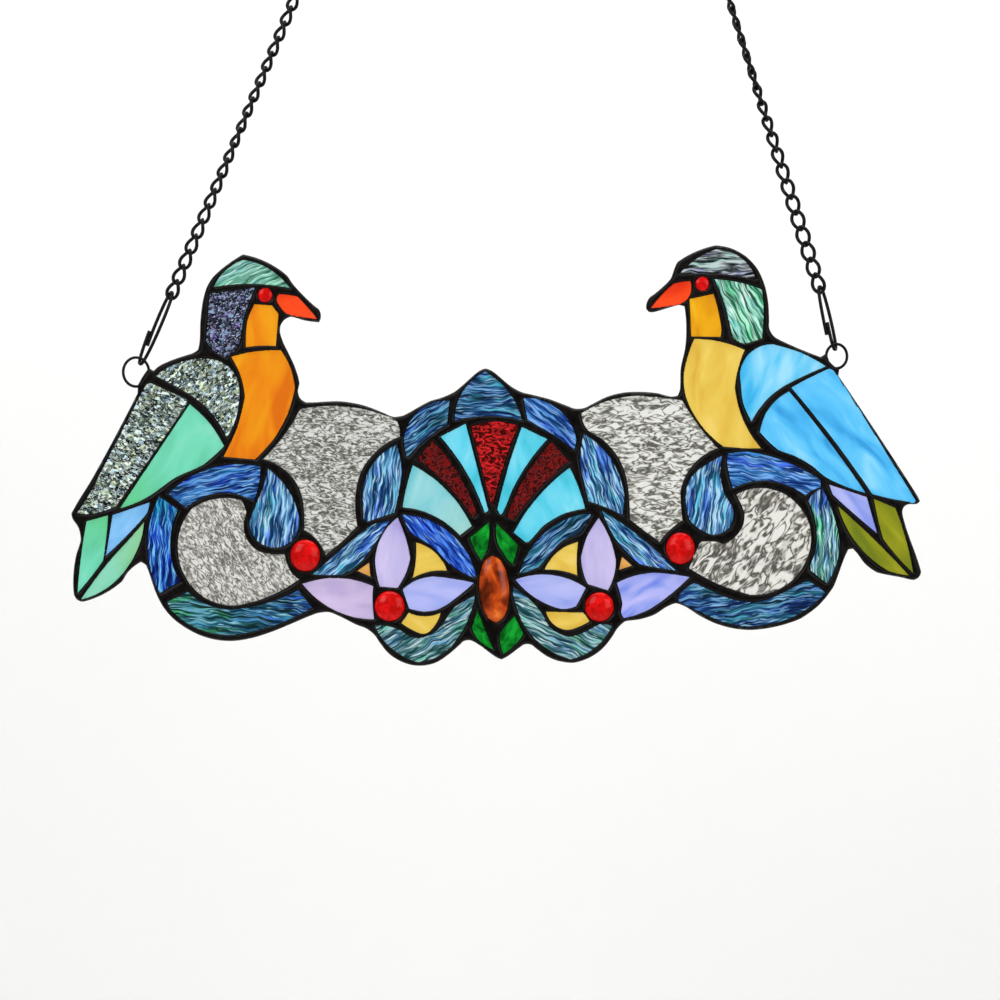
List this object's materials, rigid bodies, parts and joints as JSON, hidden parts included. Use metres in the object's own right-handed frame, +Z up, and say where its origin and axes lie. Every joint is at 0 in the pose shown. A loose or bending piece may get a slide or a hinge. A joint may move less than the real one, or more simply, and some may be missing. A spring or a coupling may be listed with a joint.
{
  "type": "stained glass panel",
  "caption": "Hanging stained glass panel of two birds facing each other over a fan crest, flowers and scrolls, in black solder, on two curb chains.",
  "frame": {"origin": "midway between the insides of the two end links, where the chains hang from a pair of hooks", "axes": "+Z up, +X to the right as seen from the front, -Y out of the front of the glass"},
  "size_m": [0.5176, 0.0121, 0.421],
  "materials": {
    "glass_sea_green": "streaky sea-green glass",
    "glass_midnight": "dark glass full of bright flecks",
    "glass_orange": "orange opalescent glass",
    "glass_glitter": "clear crackled iridescent glass",
    "glass_mint": "mint opalescent glass",
    "glass_moonstone": "clear iridescent swirled glass",
    "glass_honey": "honey-yellow opalescent glass",
    "glass_sky": "sky-blue opalescent glass",
    "glass_cobalt": "blue streaky water glass",
    "glass_lagoon": "blue-green streaky water glass",
    "glass_frost": "clear ripple glass with fine waves",
    "glass_ruby": "red hammered or pressed glass",
    "glass_turquoise": "turquoise opalescent glass",
    "glass_amber": "amber pressed glass",
    "glass_lavender": "lavender opalescent glass",
    "solder": "tin solder with a black patina, satin",
    "wire": "steel wire with a black coating, satin"
  },
  "bodies": {
    "root": {"left_bird_cap": "glass_sea_green", "left_bird_nape": "glass_midnight", "left_bird_breast": "glass_orange", "left_bird_shoulder": "glass_glitter", "left_bird_outer_wing": "glass_glitter", "left_bird_inner_wing": "glass_mint", "right_bird_cap": "glass_moonstone", "right_bird_nape": "glass_sea_green", "right_bird_breast": "glass_honey", "right_bird_shoulder": "glass_sky", "right_bird_inner_wing": "glass_sky", "right_bird_outer_wing": "glass_sky", "left_scroll_top_arc": "glass_cobalt", "left_scroll_teardrop": "glass_cobalt", "left_scroll_side_arc": "glass_cobalt", "left_scroll_bottom_arc": "glass_lagoon", "left_scroll_middle": "glass_frost", "left_scroll_berry": "glass_ruby", "right_scroll_top_arc": "glass_cobalt", "right_scroll_teardrop": "glass_cobalt", "right_scroll_side_arc": "glass_lagoon", "right_scroll_bottom_arc": "glass_lagoon", "right_scroll_middle": "glass_frost", "right_scroll_berry": "glass_ruby", "background_left": "glass_frost", "background_right": "glass_frost", "arch_low_left": "glass_cobalt", "arch_high_left": "glass_cobalt", "arch_crown": "glass_lagoon", "arch_high_right": "glass_cobalt", "arch_low_right": "glass_lagoon", "fan_turquoise_1": "glass_turquoise", "fan_ruby_1": "glass_ruby", "fan_turquoise_2": "glass_turquoise", "fan_ruby_2": "glass_ruby", "fan_turquoise_3": "glass_turquoise", "fan_ruby_3": "glass_ruby", "fan_turquoise_4": "glass_turquoise", "centre_oval": "glass_amber", "left_flower_up_petal": "glass_lavender", "left_flower_left_petal": "glass_lavender", "left_flower_right_petal": "glass_lavender", "left_flower_berry": "glass_ruby", "left_flower_right_strip": "glass_cobalt", "left_flower_left_strip": "glass_lagoon", "left_flower_bottom_scroll": "glass_lagoon", "right_flower_up_petal": "glass_lavender", "right_flower_left_petal": "glass_lavender", "right_flower_right_petal": "glass_lavender", "right_flower_berry": "glass_ruby", "right_flower_left_strip": "glass_cobalt", "right_flower_right_strip": "glass_cobalt", "right_flower_bottom_scroll": "glass_lagoon", "solder_web": "solder", "left_ring": "wire", "left_hook": "wire", "left_chain": "wire", "right_ring": "wire", "right_hook": "wire", "right_chain": "wire"}
  },
  "joints": []
}
